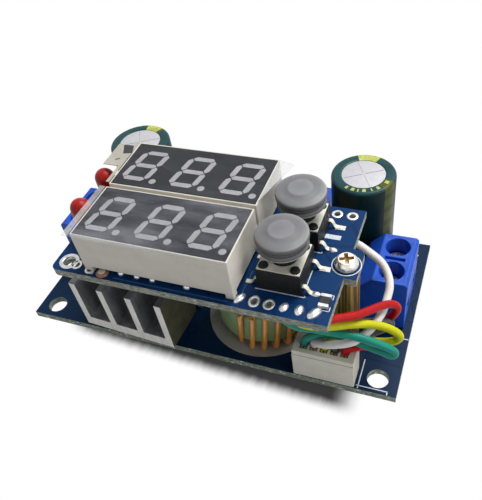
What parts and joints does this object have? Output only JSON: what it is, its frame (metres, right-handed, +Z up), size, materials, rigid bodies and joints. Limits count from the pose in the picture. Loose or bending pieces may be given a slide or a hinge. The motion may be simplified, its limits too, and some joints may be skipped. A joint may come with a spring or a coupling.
{
  "type": "buck converter module",
  "caption": "Step-down voltage converter module: a power board with screw terminals, heatsink and inductor under a display board with push buttons and coloured leads.",
  "frame": {"origin": "centre of the bounding box in plan, at the tips of the solder tails that the module rests on", "axes": "+X to the output terminal, along the length; +Y to the back, where the adjusting screws are; +Z up through both boards"},
  "size_m": [0.0628, 0.036, 0.0297],
  "materials": {
    "board_blue": "satin solder mask",
    "black_anodised": "anodised, cut ends bright",
    "glue": "matte",
    "chip_black": "matte",
    "core_paint": "satin enamel, one side yellow",
    "enamelled_copper": "enamelled wire",
    "can_aluminium": "satin",
    "sleeve_green": "glossy shrink film",
    "tinned_metal": "tinned",
    "terminal_blue": "semi-gloss",
    "trimmer_blue": "semi-gloss",
    "nylon_white": "matte",
    "clamp_metal": "plated",
    "lead_green": "soft sleeve",
    "lead_yellow": "soft sleeve",
    "lead_white": "soft sleeve",
    "lead_black": "soft sleeve",
    "lead_red": "soft sleeve",
    "housing_cream": "matte",
    "face_grey": "matte",
    "segment_resin": "unlit resin",
    "clear_film": "clear film",
    "lamp_red": "tinted resin",
    "switch_black": "matte",
    "plate_steel": "satin",
    "brass_fitting": "satin",
    "screw_steel": "nickel plated",
    "solder": "bright",
    "cap_grey": "translucent"
  },
  "bodies": {
    "base": {"main_board": "board_blue", "display_board": "board_blue", "heatsink": "black_anodised", "heatsink_glue": "glue", "regulator": "chip_black", "diode": "chip_black", "control_chips": "chip_black", "chip_parts": "chip_black", "inductor_core": "core_paint", "inductor_winding": "enamelled_copper", "left_capacitor": "can_aluminium", "right_capacitor": "can_aluminium", "capacitor_sleeves": "sleeve_green", "part_leads": "tinned_metal", "left_terminal": "terminal_blue", "right_terminal": "terminal_blue", "terminal_bars": "tinned_metal", "trimmer_bodies": "trimmer_blue", "header_shroud": "nylon_white", "header_pins": "tinned_metal", "plug": "nylon_white", "plug_contacts": "clamp_metal", "lead_green": "lead_green", "lead_yellow": "lead_yellow", "lead_white": "lead_white", "lead_black": "lead_black", "lead_red": "lead_red", "front_display": "housing_cream", "rear_display": "housing_cream", "display_faces": "face_grey", "display_segments": "segment_resin", "display_pins": "tinned_metal", "display_films": "clear_film", "status_lamps": "lamp_red", "front_switch": "switch_black", "rear_switch": "switch_black", "switch_plates": "plate_steel", "switch_leads": "tinned_metal", "switch_domes": "plate_steel", "spacers": "brass_fitting", "board_screws": "screw_steel", "main_solder": "solder", "display_solder": "solder", "display_chips": "chip_black"},
    "front_button": {"front_plunger": "switch_black", "front_cap": "cap_grey"},
    "rear_button": {"rear_plunger": "switch_black", "rear_cap": "cap_grey"},
    "screw_left_front_body": {"screw_left_front": "screw_steel"},
    "screw_left_rear_body": {"screw_left_rear": "screw_steel"},
    "screw_right_front_body": {"screw_right_front": "screw_steel"},
    "screw_right_rear_body": {"screw_right_rear": "screw_steel"},
    "clamp_left_front_body": {"clamp_left_front": "clamp_metal"},
    "clamp_left_rear_body": {"clamp_left_rear": "clamp_metal"},
    "clamp_right_front_body": {"clamp_right_front": "clamp_metal"},
    "clamp_right_rear_body": {"clamp_right_rear": "clamp_metal"},
    "left_trimmer_screw_body": {"left_trimmer_screw": "brass_fitting"},
    "right_trimmer_screw_body": {"right_trimmer_screw": "brass_fitting"}
  },
  "joints": [
    {"name": "front_button_press", "type": "slide", "parent": "base", "child": "front_button", "axis": [0, 0, -1], "range_m": [0, 0.00025], "stiffness_N_per_m": 4000},
    {"name": "rear_button_press", "type": "slide", "parent": "base", "child": "rear_button", "axis": [0, 0, -1], "range_m": [0, 0.00025], "stiffness_N_per_m": 4000},
    {"name": "screw_left_front_turn", "type": "hinge", "parent": "base", "child": "screw_left_front_body", "pos_m": [-0.02735, 0.00068, 0.0095], "axis": [0, 0, -1], "range_deg": [0, 960]},
    {"name": "clamp_left_front_rise", "type": "slide", "parent": "base", "child": "clamp_left_front_body", "axis": [0, 0, 1], "range_m": [0, 0.0012]},
    {"name": "screw_left_rear_turn", "type": "hinge", "parent": "base", "child": "screw_left_rear_body", "pos_m": [-0.02735, 0.00577, 0.0095], "axis": [0, 0, -1], "range_deg": [0, 960]},
    {"name": "clamp_left_rear_rise", "type": "slide", "parent": "base", "child": "clamp_left_rear_body", "axis": [0, 0, 1], "range_m": [0, 0.0012]},
    {"name": "screw_right_front_turn", "type": "hinge", "parent": "base", "child": "screw_right_front_body", "pos_m": [0.02735, 0.00068, 0.0095], "axis": [0, 0, -1], "range_deg": [0, 960]},
    {"name": "clamp_right_front_rise", "type": "slide", "parent": "base", "child": "clamp_right_front_body", "axis": [0, 0, 1], "range_m": [0, 0.0012]},
    {"name": "screw_right_rear_turn", "type": "hinge", "parent": "base", "child": "screw_right_rear_body", "pos_m": [0.02735, 0.00577, 0.0095], "axis": [0, 0, -1], "range_deg": [0, 960]},
    {"name": "clamp_right_rear_rise", "type": "slide", "parent": "base", "child": "clamp_right_rear_body", "axis": [0, 0, 1], "range_m": [0, 0.0012]},
    {"name": "left_trimmer_turn", "type": "hinge", "parent": "base", "child": "left_trimmer_screw_body", "pos_m": [-0.00375, 0.01481, 0.0123], "axis": [0, 0, -1], "continuous": true},
    {"name": "right_trimmer_turn", "type": "hinge", "parent": "base", "child": "right_trimmer_screw_body", "pos_m": [0.00625, 0.01481, 0.0123], "axis": [0, 0, -1], "continuous": true}
  ],
  "couplings": [
    {"joint": "screw_left_front_turn", "follows": "clamp_left_front_rise", "rad_per_m": 13963},
    {"joint": "screw_left_rear_turn", "follows": "clamp_left_rear_rise", "rad_per_m": 13963},
    {"joint": "screw_right_front_turn", "follows": "clamp_right_front_rise", "rad_per_m": 13963},
    {"joint": "screw_right_rear_turn", "follows": "clamp_right_rear_rise", "rad_per_m": 13963}
  ]
}
